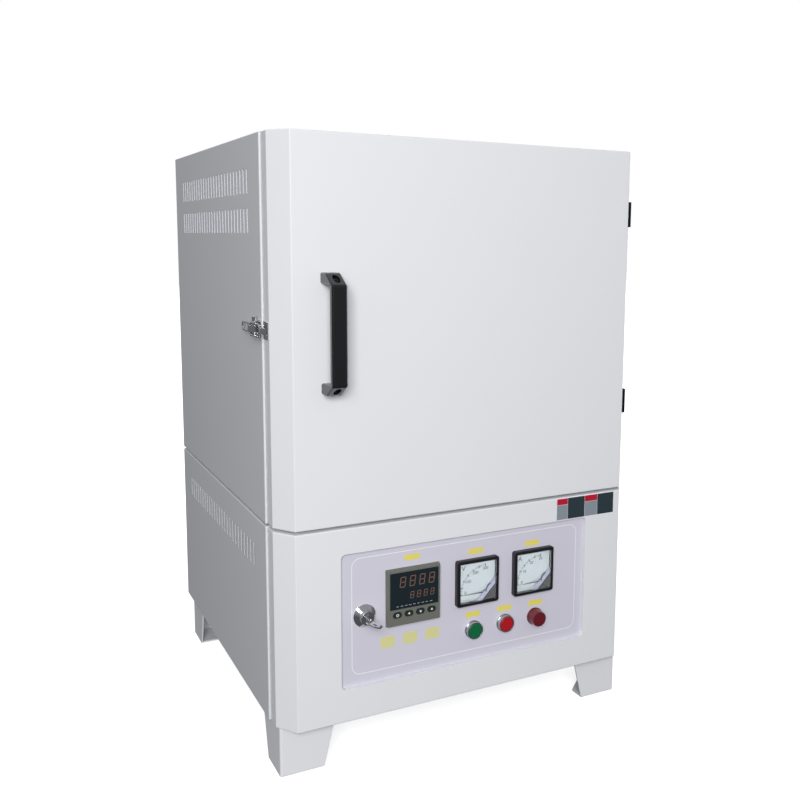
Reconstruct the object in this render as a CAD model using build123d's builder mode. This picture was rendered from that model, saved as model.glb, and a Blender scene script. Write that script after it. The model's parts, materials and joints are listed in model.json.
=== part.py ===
from build123d import *
import os

# Front-loading laboratory box furnace: a heated upper cabinet with a side-hung door, standing on
# a control cabinet with four folded legs. Millimetres, X to the right, Y to the back, Z up.
# The origin lies on the floor, under the middle of the whole outline.

# Cabinet
body_width = 660.0  # door and lower front panel
casing_proud = 3.0  # how far the casing stands outside the door on each side
chamfer_width = 25.0
chamfer_depth = 35.0
front_return = 28.0  # sides of the door and of the front panel, behind the chamfer
casing_depth = 622.0
leg_height = 82.0
panel_height = 321.0
front_gap = 5.0  # between the front panel and the door
door_height = 600.0
cabinet_gap = 4.0  # between the lower and the upper casing
sheet = 1.5
bend = 2.0  # outer radius of a fold
casing_flange = 18.0
seam_gap = 0.5  # between the door or front panel and the casing behind it
seat = 0.3  # between fixed pieces that lie on each other
through = 1.0  # how far a cut runs past a face
ledge = 45.0  # width of the lower casing's top, which the upper cabinet stands on
cover_edge = 6.0  # how far a back cover stays inside the casing's outline

# Vents
vent_count = 25
vent_pitch = 19.8
vent_width = 7.0
vent_height = 38.0
vent_drop = 69.0  # centre of the top row below the top of the furnace
vent_row_pitch = 61.0
lower_vent_drop = 66.0  # centre of the lower cabinet's row below that cabinet's top
back_vent_count = 17
vent_lead = 4.0  # side vents' middle in front of the casing's

# Legs
leg_sheet = 3.0
leg_side_inset = 4.0
leg_front_inset = 28.0
leg_back_inset = 23.0
leg_top_width = 93.0
leg_foot_width = 73.0
leg_top_depth = 91.0
leg_foot_depth = 67.0
leg_bend = 4.0
plate_clip = 0.55  # share of a leg plate's sides that its clipped inner corner takes

# Heated chamber
chamber_width = 320.0
chamber_height = 260.0
chamber_depth = 390.0
wall_thickness = 128.0
back_thickness = 100.0
deck_sheet = 2.0
rail_offset = 180.0
rail_width = 50.0
spacer_width = 20.0
mouth_sheet = 2.0

# Heating elements, in a pocket behind retaining ribs
wire_radius = 3.0  # half the width of the resistance strip
strip_thickness = 2.5
wire_runs = 6
wire_pitch = 34.0
wire_slack = 0.5
wire_front = 80.0  # front bends behind the insulation's front
wire_back = 34.0  # back bends before the chamber's back wall
pocket_front = 52.0
pocket_height = 204.0
rib_thickness = 6.0
rib_width = 14.0
rib_pitch = 100.0
rib_count = 3
lead_reach = 32.0  # wire ends behind the inner shell
lead_hole = 4.2
hearth_side = 10.0  # inside the chamber's walls
hearth_thickness = 12.0
hearth_front = 46.0
hearth_back = 8.0  # before the chamber's back wall
probe_radius = 5.0
probe_rise = 70.0
probe_reach = 34.0
probe_clearance = 0.3
probe_head_radius = 17.0
probe_head_length = 30.0

# Door
door_block_margin = 45.0  # insulation inside the skin's outline
door_block_depth = 50.0
door_plate = 2.0
step_margin = 26.0  # sealing step wider than the chamber, on each side
plug_gap = 6.0
plug_length = 28.0
plug_taper = 8.0
seal_margin = 8.0
seal_width = 12.0
seal_depth = 9.0
seal_gap = 0.4

# Door handle
handle_reach = 50.0
handle_x = -249.0
handle_z = 710.0
handle_length = 184.0
handle_width = 24.0
handle_arm = 17.0
handle_bar = 11.0
handle_start = 22.0  # where the slanted end begins, in front of the door
handle_round = 2.0
screw_radius = 3.0
screw_clearance = 0.2
screw_head = 5.3
screw_head_length = 6.0
screw_socket = 2.5
counterbore = 5.6
counterbore_floor = 12.0  # in front of the door
screw_inside = 8.0

# Hinges
knuckle_radius = 6.5
knuckle_gap = 0.5
hinge_pin_radius = 3.5
hinge_fit = 0.06
hinge_height = 90.0
hinge_leaf = 3.0
hinge_leaf_width = 30.0
hinge_offset = 170.0  # hinge middle from the door's middle

# Draw latch, measured outwards from the casing's left side and back from the seam
latch_z = 713.0
latch_back = 20.0  # lever pivot behind the seam
pivot_out = 5.5
pin_radius = 2.0
pin_fit = 0.06
latch_plate = 2.0
plate_start = 3.0
plate_length = 36.0
plate_half = 15.0
ear_half = 5.5  # clear half width between the ears
ear_sheet = 2.0
ear_radius = 3.6
lever_half = 5.0
lever_hub = 3.0
bail_back = 10.0  # bail's hole behind the lever pivot
bail_out = 9.6
bail_wire = 1.6
bail_half = 9.6
bail_bend = 4.0
bail_grip = 2.5  # where the bail's ends stop inside the lever
bail_bar = 20.0  # cross bar in front of the seam
tail_length = 26.0
loop_out = 6.0
loop_half = 6.0
loop_bend = 3.5
loop_start = 18.0
loop_end = 68.0
knob_radius = 4.2
knob_low = 12.0
knob_high = 19.0
keeper_gap = 0.3
keeper_sheet = 1.4
keeper_front = 25.0
keeper_rear = 2.0
keeper_half = 13.5
keeper_lip = 9.0

# Control panel
opening_width = 464.0
opening_height = 224.0
opening_z = 249.0
opening_corner = 8.0
recess = 6.0
panel_lap = 12.0
panel_sheet = 2.0

# Instruments on the control panel
controller_x, controller_z = -106.5, 274.5
controller_size = 96.0
controller_proud = 9.0
controller_taper = 12.0
controller_body = 91.6
controller_length = 80.0
window_width = 87.0
window_height = 62.0
window_rise = 12.0
window_depth = 3.0
window_sheet = 2.0
key_count = 4
key_pitch = 20.5
key_drop = 28.0
key_width = 15.0
key_height = 9.5
key_proud = 1.2
key_length = 4.0
key_well = 7.0
meter_z = 278.0
voltmeter_x, ammeter_x = 12.0, 123.0
meter_size = 80.0
meter_proud = 10.0
meter_rim = 5.5
meter_corner = 4.0
meter_well = 6.5
meter_barrel = 31.0
meter_length = 40.0
mask_leg = 26.0
mask_sheet = 1.4
mask_depth = 1.9
cover_sheet = 1.2
cover_depth = 0.4
pivot_side = 24.0  # from the meter's right edge
pivot_rise = 19.0  # from its lower edge
pivot_radius = 1.0
pivot_fit = 0.05
hub_radius = 4.0
hub_length = 2.0
needle_length = 46.0
needle_width = 1.8
needle_depth = 3.9
needle_sheet = 0.8
button_z = 192.0
green_x, red_x, buzzer_x = 7.0, 69.0, 131.0
flange_radius = 15.5
flange_proud = 2.5
bezel_radius = 14.5
bezel_proud = 10.0
barrel_radius = 11.0
barrel_length = 34.0
well_radius = 13.1
well_floor = 2.0  # in front of the panel's face
well_bore = 12.5
cap_gap = 0.3
cap_proud = 11.0
cap_back = 5.6  # in front of the panel's face
edge_round = 1.0
stem_radius = 5.0
stem_fit = 0.06
stem_end = 8.5
buzzer_radius = 13.0
buzzer_proud = 18.0
switch_x, switch_z = -191.0, 253.0
switch_radius = 19.0
switch_cone = 7.0
switch_nose = 11.0
switch_proud = 15.0
switch_barrel = 9.5
switch_length = 30.0
plug_radius = 7.0
plug_fit = 0.06
plug_proud = 14.4
plug_length_in = 22.0
blade_width = 8.0
blade_sheet = 2.2
key_angle = -22.0  # bow's direction seen from the front
bow_radius = 14.0
bow_middle = 41.0  # in front of the panel
bow_hole = 4.5

# Supply side
gland_reach = 17.0
gland_x, gland_z = -200.0, 150.0
gland_bore = 6.0
gland_nut = 8.0
gland_inside = 14.0
gland_thread = 9.5
gland_hex = 24.0
sink_fins = 9
sink_width = 150.0
sink_length = 110.0
sink_base = 10.0
sink_height = 46.0
fin_sheet = 4.0
module_width = 62.0
module_length = 100.0
module_height = 32.0
block_ways = 8
block_pitch = 14.0
block_depth = 42.0
block_height = 30.0
groove = 2.0
regulator_x = -150.0
contactor_x = 60.0
contactor_steps = ((75.0, 80.0, 40.0), (55.0, 80.0, 25.0), (60.0, 60.0, 20.0))
terminal_x = -180.0
terminal_from_back = 120.0

# Places worked out from the sizes above
body_depth = chamfer_depth + front_return + casing_depth
front_y = handle_reach - (handle_reach + body_depth + gland_reach) / 2
seam_y = front_y + chamfer_depth + front_return
tray_back = seam_y - seam_gap
back_y = seam_y + casing_depth
flange_back = back_y - sheet
body_half = body_width / 2
casing_half = body_half + casing_proud
casing_middle = (seam_y + back_y) / 2
panel_top = leg_height + panel_height
door_z = panel_top + front_gap
lower_top = door_z - cabinet_gap
top_z = door_z + door_height
door_middle = door_z + door_height / 2
deck_z = door_z + sheet
deck_top = deck_z + deck_sheet
base_top = leg_height + sheet + deck_sheet
mouth_y = seam_y + sheet
mouth_back = mouth_y + mouth_sheet
board_front = mouth_back + seat
chamber_back = board_front + chamber_depth
board_back = chamber_back + back_thickness
block_width = chamber_width + 2 * wall_thickness
block_tall = chamber_height + 2 * wall_thickness
shell_width = block_width + 2 * (seat + sheet)
shell_tall = block_tall + 2 * (seat + sheet)
shell_back = board_back + seat + sheet
shell_bottom = door_middle - shell_tall / 2
pocket_depth = rib_thickness + 2 * wire_radius + 3 * seat
wire_x = chamber_width / 2 + pocket_depth - seat - wire_radius
panel_face = front_y + recess + seat
hinge_x = casing_half + knuckle_gap + knuckle_radius
side_reach = knuckle_gap + 2 * knuckle_radius
latch_y = seam_y + latch_back
screw_heights = [handle_z + side * (handle_length - handle_arm) / 2 for side in (-1, 1)]
regulator_y = casing_middle
terminal_y = back_y - terminal_from_back
lead_z = (wire_runs - 1) / 2 * wire_pitch
passages = [(0, door_middle + probe_rise, probe_radius + probe_clearance)]
passages += [(side * wire_x, door_middle + end * lead_z, lead_hole) for side in (-1, 1) for end in (-1, 1)]
door_plate_front = tray_back - door_plate
door_block_back = door_plate_front - seat

os.makedirs("parts", exist_ok=True)


def save(node, name):
    """Labels a finished piece and writes it."""
    node.part.label = name
    export_step(node.part, f"parts/{name}.step")


def facing(y):
    """Upright plane across the furnace at depth y, seen from the front."""
    return Plane.XZ.offset(-y)


def block(low, high, mode=Mode.ADD):
    """Rectangular block between two corners."""
    with Locations(tuple((a + b) / 2 for a, b in zip(low, high))):
        Box(*[b - a for a, b in zip(low, high)], mode=mode)


def prism(plane, points, amount, mode=Mode.ADD):
    """Extrudes a polygon from a plane."""
    with BuildSketch(plane) as profile:
        with BuildLine():
            Polyline(points, close=True)
        make_face()
    extrude(profile.sketch, amount=amount, mode=mode)


def disc(plane, x, y, radius, amount, mode=Mode.ADD):
    """Extrudes a circle from a plane."""
    with BuildSketch(plane) as profile:
        with Locations((x, y)):
            Circle(radius)
    extrude(profile.sketch, amount=amount, mode=mode)


def turned(profile, x, z, mode=Mode.ADD):
    """Turned piece on a front-to-back axis, from pairs of radius and depth."""
    with BuildSketch(Plane.XY.offset(z)) as section:
        with BuildLine():
            Polyline([(x + radius, y) for radius, y in profile], close=True)
        make_face()
    revolve(section.sketch, axis=Axis((x, 0, z), (0, 1, 0)), mode=mode)


def strip(points, x, bend_radius, width, thickness):
    """Flat strip bent in an upright plane at a fixed x, from pairs of y and z."""
    with BuildLine(Plane.YZ.offset(x)) as path:
        FilletPolyline(points, radius=bend_radius)
    with BuildSketch(Plane(path.wire() @ 0, x_dir=(1, 0, 0), z_dir=path.wire() % 0)) as section:
        Rectangle(thickness, width)
    sweep(section.sketch, path=path.wire())


def wire(points, x, corner, radius):
    """Round wire in an upright plane at a fixed x, each bend as two mitred corners."""
    places = [Vector(x, y, z) for y, z in points]
    track = places[:1]
    for before, bend_point, after in zip(places, places[1:], places[2:]):
        track.append(bend_point + (before - bend_point).normalized() * corner)
        track.append(bend_point + (after - bend_point).normalized() * corner)
    track += places[-1:]
    with BuildLine() as path:
        Polyline(track)
    with BuildSketch(Plane(path.wire() @ 0, z_dir=path.wire() % 0)) as section:
        Circle(radius)
    sweep(section.sketch, path=path.wire(), transition=Transition.RIGHT)


def slots(plane, centre_x, rows, count, amount):
    """Cuts rows of upright vent slots."""
    with BuildSketch(plane) as pattern:
        for row in rows:
            with Locations((centre_x, row)):
                with GridLocations(vent_pitch, vent_height, count, 1):
                    Rectangle(vent_width, vent_height)
    extrude(pattern.sketch, amount=amount, mode=Mode.SUBTRACT)


def casing(low, high, top_opening, rows):
    """Folded wrapper with flanges round its open faces and vent slots in both sides."""
    block((-casing_half, seam_y, low), (casing_half, flange_back, high))
    fillet(edges(), bend)
    inside = casing_half - sheet
    block((-inside, seam_y + sheet, low + sheet), (inside, flange_back - sheet, high - sheet), Mode.SUBTRACT)
    open_half = casing_half - casing_flange
    top_flange = high - casing_flange
    block((-open_half, front_y, low + casing_flange), (open_half, back_y, top_flange), Mode.SUBTRACT)
    floor_front, floor_back = seam_y + casing_flange, flange_back - casing_flange
    block((-open_half, floor_front, low - sheet), (open_half, floor_back, low + casing_flange), Mode.SUBTRACT)
    if top_opening:
        half, over = casing_half - ledge, high + through
        block((-half, seam_y + ledge, top_flange), (half, flange_back - ledge, over), Mode.SUBTRACT)
    across = casing_half + through
    slots(Plane.YZ.offset(-across), casing_middle - vent_lead, rows, vent_count, 2 * across)


def front_tray(low, height):
    """Folded front with chamfered upright edges, open at the back."""
    outline = [
        (-body_half, tray_back),
        (-body_half, front_y + chamfer_depth),
        (chamfer_width - body_half, front_y),
        (body_half - chamfer_width, front_y),
        (body_half, front_y + chamfer_depth),
        (body_half, tray_back),
    ]
    prism(Plane.XY.offset(low), outline, height)
    rear = faces().sort_by(Axis.Y)[-1]
    fillet([edge for edge in edges() if edge not in rear.edges()], bend)
    offset(amount=-sheet, openings=faces().sort_by(Axis.Y)[-1])


def back_cover(low, high, rows):
    """Flat vented cover on the rear flanges of a cabinet."""
    edge = casing_half - cover_edge
    block((-edge, flange_back, low + cover_edge), (edge, back_y, high - cover_edge))
    slots(facing(back_y + through), 0, rows, back_vent_count, 2 * sheet + through)


def floor_plate(low):
    """Plate that lies on a cabinet's bottom flanges."""
    inside = casing_half - sheet - seat
    block((-inside, seam_y + sheet + seat, low), (inside, flange_back - sheet - seat, low + deck_sheet))


def leg(side, end):
    """Folded leg: two tapered flanges on one corner bend, a top plate and a foot plate."""
    x = side * (body_half - leg_side_inset)
    y = front_y + leg_front_inset if end < 0 else back_y - leg_back_inset
    foot_x, top_x = x - side * leg_foot_width, x - side * leg_top_width
    foot_y, top_y = y - end * leg_foot_depth, y - end * leg_top_depth
    prism(facing(y), [(x, 0), (foot_x, 0), (top_x, leg_height), (x, leg_height)], end * leg_sheet)
    prism(Plane.YZ.offset(x), [(y, 0), (foot_y, 0), (top_y, leg_height), (y, leg_height)], -side * leg_sheet)
    near = 1 - plate_clip
    for low, wide, deep in (
        (0, leg_foot_width, leg_foot_depth),
        (leg_height - leg_sheet, leg_top_width, leg_top_depth),
    ):
        far_x, far_y = x - side * wide, y - end * deep
        clip_x, clip_y = x - side * near * wide, y - end * near * deep
        plate = [(x, y), (far_x, y), (far_x, clip_y), (clip_x, far_y), (x, far_y)]
        prism(Plane.XY.offset(low), plate, leg_sheet)
    corner = edges().filter_by(Axis.Z).sort_by_distance((x, y, leg_height / 2))[0]
    fillet(corner, leg_bend)


# Lower cabinet
with BuildPart() as lower_casing:
    casing(leg_height, lower_top, True, [lower_top - lower_vent_drop])
save(lower_casing, "lower_casing")

with BuildPart() as base_plate:
    floor_plate(leg_height + sheet)
save(base_plate, "base_plate")

with BuildPart() as lower_back_cover:
    back_cover(leg_height, lower_top, [lower_top - lower_vent_drop])
    hole_depth = 2 * sheet + through
    disc(facing(back_y + through), gland_x, gland_z, gland_thread + seat, hole_depth, Mode.SUBTRACT)
save(lower_back_cover, "lower_back_cover")

with BuildPart() as lower_front_panel:
    front_tray(leg_height, panel_height)
    with BuildSketch(facing(front_y + sheet / 2)):
        with Locations((0, opening_z)):
            RectangleRounded(opening_width + 2 * sheet, opening_height + 2 * sheet, opening_corner + sheet)
    extrude(amount=sheet / 2 - recess)
    with BuildSketch(facing(front_y - sheet)):
        with Locations((0, opening_z)):
            RectangleRounded(opening_width, opening_height, opening_corner)
    extrude(amount=-recess - 2 * sheet, mode=Mode.SUBTRACT)
save(lower_front_panel, "lower_front_panel")

for end, place in ((-1, "front"), (1, "rear")):
    for side, hand in ((-1, "left"), (1, "right")):
        with BuildPart() as folded_leg:
            leg(side, end)
        save(folded_leg, f"leg_{place}_{hand}")

# Upper cabinet
with BuildPart() as upper_casing:
    casing(door_z, top_z, False, [top_z - vent_drop, top_z - vent_drop - vent_row_pitch])
save(upper_casing, "upper_casing")

with BuildPart() as upper_back_cover:
    back_cover(door_z, top_z, [top_z - vent_drop, top_z - vent_drop - vent_row_pitch])
save(upper_back_cover, "upper_back_cover")

with BuildPart() as deck_plate:
    floor_plate(deck_z)
    spacer_front, spacer_back = seam_y + casing_flange + seat, flange_back - casing_flange - seat
    for side in (-1, 1):
        edge = side * (casing_half - casing_flange - seat)
        low, high = sorted((edge, edge - side * spacer_width))
        block((low, spacer_front, lower_top), (high, spacer_back, deck_z))
        low, high = side * rail_offset - rail_width / 2, side * rail_offset + rail_width / 2
        block((low, board_front, deck_top), (high, board_back, shell_bottom))
        hollow = (high - sheet, board_back, shell_bottom - sheet)
        block((low + sheet, board_front, deck_top + sheet), hollow, Mode.SUBTRACT)
save(deck_plate, "deck_plate")

with BuildPart() as mouth_plate:
    half = casing_half - sheet - seat
    low, high = deck_top + seat, top_z - sheet - seat
    block((-half, mouth_y, low), (half, mouth_back, high))
    half, tall = chamber_width / 2, chamber_height / 2
    block((-half, mouth_y, door_middle - tall), (half, mouth_back, door_middle + tall), Mode.SUBTRACT)
save(mouth_plate, "mouth_plate")

with BuildPart() as inner_shell:
    half, tall = shell_width / 2, shell_tall / 2
    block((-half, mouth_back, door_middle - tall), (half, shell_back, door_middle + tall))
    half, tall = half - sheet, tall - sheet
    hollow = (half, shell_back - sheet, door_middle + tall)
    block((-half, mouth_back, door_middle - tall), hollow, Mode.SUBTRACT)
    for x, z, radius in passages:
        disc(facing(shell_back), x, z, radius, 2 * sheet, Mode.SUBTRACT)
save(inner_shell, "inner_shell")

for side, hand in ((-1, "left"), (1, "right")):
    with BuildPart() as wall_board:
        inner, outer = side * chamber_width / 2, side * block_width / 2
        low_x, high_x = sorted((inner, outer))
        low_z, high_z = door_middle - chamber_height / 2, door_middle + chamber_height / 2
        block((low_x, board_front, low_z), (high_x, chamber_back, high_z))
        low_x, high_x = sorted((inner, inner + side * pocket_depth))
        low_z, high_z = door_middle - pocket_height / 2, door_middle + pocket_height / 2
        block((low_x, board_front + pocket_front, low_z), (high_x, chamber_back, high_z), Mode.SUBTRACT)
        low_x, high_x = sorted((inner, inner + side * rib_thickness))
        for place in range(rib_count):
            rib_y = (board_front + chamber_back) / 2 + (place - (rib_count - 1) / 2) * rib_pitch
            block((low_x, rib_y - rib_width / 2, low_z), (high_x, rib_y + rib_width / 2, high_z))
    save(wall_board, f"wall_{hand}_board")

    with BuildPart() as heating_element:
        turn_front, turn_back = board_front + wire_front, chamber_back - wire_back
        track = []
        for run in range(wire_runs):
            run_z = door_middle + (run - (wire_runs - 1) / 2) * wire_pitch
            near, far = turn_front - wire_pitch / 2, turn_back + wire_pitch / 2
            start, end = (far, near) if run % 2 == 0 else (near, far)
            track += [(start, run_z), (end, run_z)]
        track[0] = (shell_back + lead_reach, track[0][1])
        track[-1] = (shell_back + lead_reach, track[-1][1])
        strip(track, side * wire_x, wire_pitch / 2 - wire_slack, 2 * wire_radius, strip_thickness)
    save(heating_element, f"heating_element_{hand}")

for side, name in ((-1, "floor"), (1, "ceiling")):
    with BuildPart() as flat_board:
        inner, outer = door_middle + side * chamber_height / 2, door_middle + side * block_tall / 2
        low, high = sorted((inner, outer))
        block((-block_width / 2, board_front, low), (block_width / 2, chamber_back, high))
    save(flat_board, f"{name}_board")

with BuildPart() as back_board:
    half, tall = block_width / 2, block_tall / 2
    block((-half, chamber_back, door_middle - tall), (half, board_back, door_middle + tall))
    for x, z, radius in passages:
        disc(facing(board_back), x, z, radius, back_thickness, Mode.SUBTRACT)
save(back_board, "back_board")

with BuildPart() as hearth_plate:
    chamber_floor = door_middle - chamber_height / 2
    block(
        (hearth_side - chamber_width / 2, board_front + hearth_front, chamber_floor),
        (chamber_width / 2 - hearth_side, chamber_back - hearth_back, chamber_floor + hearth_thickness),
    )
save(hearth_plate, "hearth_plate")

with BuildPart() as thermocouple:
    probe_front = chamber_back - probe_reach
    probe = [(0, probe_front), (probe_radius, probe_front + probe_radius), (probe_radius, shell_back)]
    head_back = shell_back + probe_head_length
    probe += [(probe_head_radius, shell_back), (probe_head_radius, head_back), (0, head_back)]
    turned(probe, 0, door_middle + probe_rise)
save(thermocouple, "thermocouple")

# Door
with BuildPart() as door_skin:
    front_tray(door_z, door_height)
    for z in screw_heights:
        hole = screw_radius + screw_clearance
        disc(facing(front_y + 2 * sheet), handle_x, z, hole, 3 * sheet, Mode.SUBTRACT)
save(door_skin, "door_skin")

step_half = chamber_width / 2 + step_margin
step_tall = chamber_height / 2 + step_margin
with BuildPart() as door_back_plate:
    half, tall = body_half - sheet - seat, door_height / 2 - sheet - seat
    block((-half, door_plate_front, door_middle - tall), (half, tray_back, door_middle + tall))
    half, tall = step_half + seat, step_tall + seat
    block((-half, door_plate_front, door_middle - tall), (half, tray_back, door_middle + tall), Mode.SUBTRACT)
save(door_back_plate, "door_back_plate")

seal_inner_x, seal_inner_z = chamber_width / 2 + seal_margin, chamber_height / 2 + seal_margin
seal_back = mouth_y - seal_gap
with BuildPart() as door_insulation:
    half, tall = body_half - door_block_margin, door_height / 2 - door_block_margin
    front = door_block_back - door_block_depth
    block((-half, front, door_middle - tall), (half, door_block_back, door_middle + tall))
    low, high = door_middle - step_tall, door_middle + step_tall
    block((-step_half, door_block_back, low), (step_half, tray_back, high))
    with BuildSketch(facing(tray_back)):
        with Locations((0, door_middle)):
            Rectangle(chamber_width - 2 * plug_gap, chamber_height - 2 * plug_gap)
    extrude(amount=tray_back - seam_y - plug_length, taper=plug_taper)
    with BuildSketch(facing(seal_back - seal_depth - seat)):
        with Locations((0, door_middle)):
            reach = 2 * (seal_width + seat)
            Rectangle(2 * seal_inner_x + reach, 2 * seal_inner_z + reach)
            Rectangle(2 * (seal_inner_x - seat), 2 * (seal_inner_z - seat), mode=Mode.SUBTRACT)
    extrude(amount=-seal_depth - 2 * seat, mode=Mode.SUBTRACT)
save(door_insulation, "door_insulation")

with BuildPart() as door_seal:
    with BuildSketch(facing(seal_back - seal_depth)):
        with Locations((0, door_middle)):
            RectangleRounded(2 * (seal_inner_x + seal_width), 2 * (seal_inner_z + seal_width), seal_width)
            Rectangle(2 * seal_inner_x, 2 * seal_inner_z, mode=Mode.SUBTRACT)
    extrude(amount=-seal_depth)
save(door_seal, "door_seal")

with BuildPart() as door_handle:
    low, high = handle_z - handle_length / 2, handle_z + handle_length / 2
    grip = front_y - handle_reach
    under = grip + handle_bar
    bridge = [
        (front_y, low),
        (front_y - handle_start, low),
        (grip, low + handle_arm),
        (grip, high - handle_arm),
        (front_y - handle_start, high),
        (front_y, high),
        (front_y, high - handle_arm),
        (under, high - handle_arm),
        (under, low + handle_arm),
        (front_y, low + handle_arm),
    ]
    prism(Plane.YZ.offset(handle_x - handle_width / 2), bridge, handle_width)
    foot = faces().filter_by(Axis.Y).sort_by(Axis.Y)[-2:]
    resting = [edge for face in foot for edge in face.edges()]
    chamfer([edge for edge in edges() if edge not in resting], handle_round)
    for z in screw_heights:
        hole = screw_radius + screw_clearance
        disc(facing(front_y + through), handle_x, z, hole, handle_reach, Mode.SUBTRACT)
        disc(facing(front_y - counterbore_floor), handle_x, z, counterbore, handle_reach, Mode.SUBTRACT)
save(door_handle, "door_handle")

with BuildPart() as handle_screws:
    for z in screw_heights:
        under_head = front_y - counterbore_floor
        head_front = under_head - screw_head_length
        profile = [
            (0, head_front + screw_head_length / 2),
            (screw_socket, head_front + screw_head_length / 2),
            (screw_socket, head_front),
            (screw_head, head_front),
            (screw_head, under_head),
            (screw_radius, under_head),
            (screw_radius, front_y + screw_inside),
            (0, front_y + screw_inside),
        ]
        turned(profile, handle_x, z)
save(handle_screws, "handle_screws")

# Hinges
hinge_half = hinge_height / 2
hinge_places = [door_middle + side * hinge_offset for side in (-1, 1)]
pin_top = hinge_half - 2 * hinge_leaf
with BuildPart() as hinge_cabinet_leaves:
    for z in hinge_places:
        with Locations((hinge_x, seam_y, z - hinge_half / 2)):
            Cylinder(knuckle_radius, hinge_half)
        block((casing_half, seam_y, z - hinge_half), (casing_half + hinge_leaf, seam_y + hinge_leaf_width, z))
        disc(Plane.XY.offset(z), hinge_x, seam_y, hinge_pin_radius, pin_top)
save(hinge_cabinet_leaves, "hinge_cabinet_leaves")

with BuildPart() as hinge_door_leaves:
    for z in hinge_places:
        low = z + knuckle_gap
        disc(Plane.XY.offset(low), hinge_x, seam_y, knuckle_radius, hinge_half - knuckle_gap)
        leaf_back = seam_y - seam_gap
        leaf_out = casing_half + hinge_leaf
        block((body_half, leaf_back - hinge_leaf_width, low), (leaf_out, leaf_back, z + hinge_half))
        bore = hinge_pin_radius + hinge_fit
        disc(Plane.XY.offset(low), hinge_x, seam_y, bore, pin_top, Mode.SUBTRACT)
save(hinge_door_leaves, "hinge_door_leaves")


# Draw latch
def latch_point(back, out):
    """Place seen from above: behind the lever pivot, and outwards from the casing."""
    return (-casing_half - out, latch_y + back)


pivot_x = -casing_half - pivot_out
ear_top = ear_half + ear_sheet
with BuildPart() as latch_base:
    plate_back = seam_y + plate_start + plate_length
    outline = [
        (seam_y + plate_start, latch_z - plate_half),
        (plate_back, latch_z - ear_top),
        (plate_back, latch_z + ear_top),
        (seam_y + plate_start, latch_z + plate_half),
    ]
    prism(Plane.YZ.offset(-casing_half), outline, -latch_plate)
    for low in (latch_z - ear_top, latch_z + ear_half):
        ear = [latch_point(-ear_radius, 0), latch_point(ear_radius, 0)]
        ear += [latch_point(ear_radius, pivot_out), latch_point(-ear_radius, pivot_out)]
        prism(Plane.XY.offset(low), ear, ear_sheet)
        disc(Plane.XY.offset(low), pivot_x, latch_y, ear_radius, ear_sheet)
    bottom = latch_z - ear_top - edge_round
    disc(Plane.XY.offset(bottom), pivot_x, latch_y, pin_radius, latch_z + knob_high - bottom)
    disc(Plane.XY.offset(latch_z + knob_low), pivot_x, latch_y, knob_radius, knob_high - knob_low)
save(latch_base, "latch_base")

bail_y, bail_x = latch_y + bail_back, -casing_half - bail_out
bail_hub = side_reach - bail_out
with BuildPart() as latch_lever:
    outline = [
        latch_point(-lever_hub / 2, pivot_out - lever_hub / 2),
        latch_point(tail_length, loop_out - bail_wire),
        latch_point(tail_length, loop_out + bail_wire),
        latch_point(bail_back + bail_hub, bail_out + edge_round),
        latch_point(bail_back, side_reach),
        latch_point(bail_back - bail_hub, bail_out + edge_round),
        latch_point(-lever_hub / 2, pivot_out + lever_hub / 2),
    ]
    low = Plane.XY.offset(latch_z - lever_half)
    prism(low, outline, 2 * lever_half)
    disc(low, pivot_x, latch_y, lever_hub, 2 * lever_half)
    disc(low, bail_x, bail_y, bail_hub, 2 * lever_half)
    loop = [
        (latch_y + loop_start, latch_z - loop_half),
        (latch_y + loop_end, latch_z - loop_half),
        (latch_y + loop_end, latch_z + loop_half),
        (latch_y + loop_start, latch_z + loop_half),
    ]
    wire(loop, -casing_half - loop_out, loop_bend, bail_wire)
    disc(low, pivot_x, latch_y, pin_radius + pin_fit, 2 * lever_half, Mode.SUBTRACT)
    disc(low, bail_x, bail_y, bail_wire + pin_fit, 2 * lever_half, Mode.SUBTRACT)
save(latch_lever, "latch_lever")

with BuildPart() as latch_bail:
    bar_y = seam_y - bail_bar
    track = [
        (bail_y, latch_z + bail_grip),
        (bail_y, latch_z + bail_half),
        (bar_y, latch_z + bail_half),
        (bar_y, latch_z - bail_half),
        (bail_y, latch_z - bail_half),
        (bail_y, latch_z - bail_grip),
    ]
    wire(track, bail_x, bail_bend, bail_wire)
save(latch_bail, "latch_bail")

with BuildPart() as latch_keeper:
    lip_out = casing_half + bail_out - bail_wire - keeper_gap
    foot = body_half + keeper_sheet
    front, back = seam_y - keeper_front, seam_y - keeper_rear
    block((-foot, front, latch_z - keeper_half), (-body_half, back, latch_z + keeper_half))
    lip_front = seam_y - bail_bar - keeper_sheet / 2
    low, high = latch_z - keeper_lip / 2, latch_z + keeper_lip / 2
    block((-lip_out, lip_front, low), (-body_half, lip_front + keeper_sheet, high))
save(latch_keeper, "latch_keeper")

# Control panel and its instruments
with BuildPart() as control_panel:
    with BuildSketch(facing(panel_face)):
        with Locations((0, opening_z)):
            Rectangle(opening_width + 2 * panel_lap, opening_height + 2 * panel_lap)
        with Locations((controller_x, controller_z)):
            Rectangle(controller_body + 2 * seat, controller_body + 2 * seat, mode=Mode.SUBTRACT)
        with Locations((voltmeter_x, meter_z), (ammeter_x, meter_z)):
            Circle(meter_barrel + seat, mode=Mode.SUBTRACT)
        with Locations((green_x, button_z), (red_x, button_z), (buzzer_x, button_z)):
            Circle(barrel_radius + seat, mode=Mode.SUBTRACT)
        with Locations((switch_x, switch_z)):
            Circle(switch_barrel + seat, mode=Mode.SUBTRACT)
    extrude(amount=-panel_sheet)
save(control_panel, "control_panel")

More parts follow.
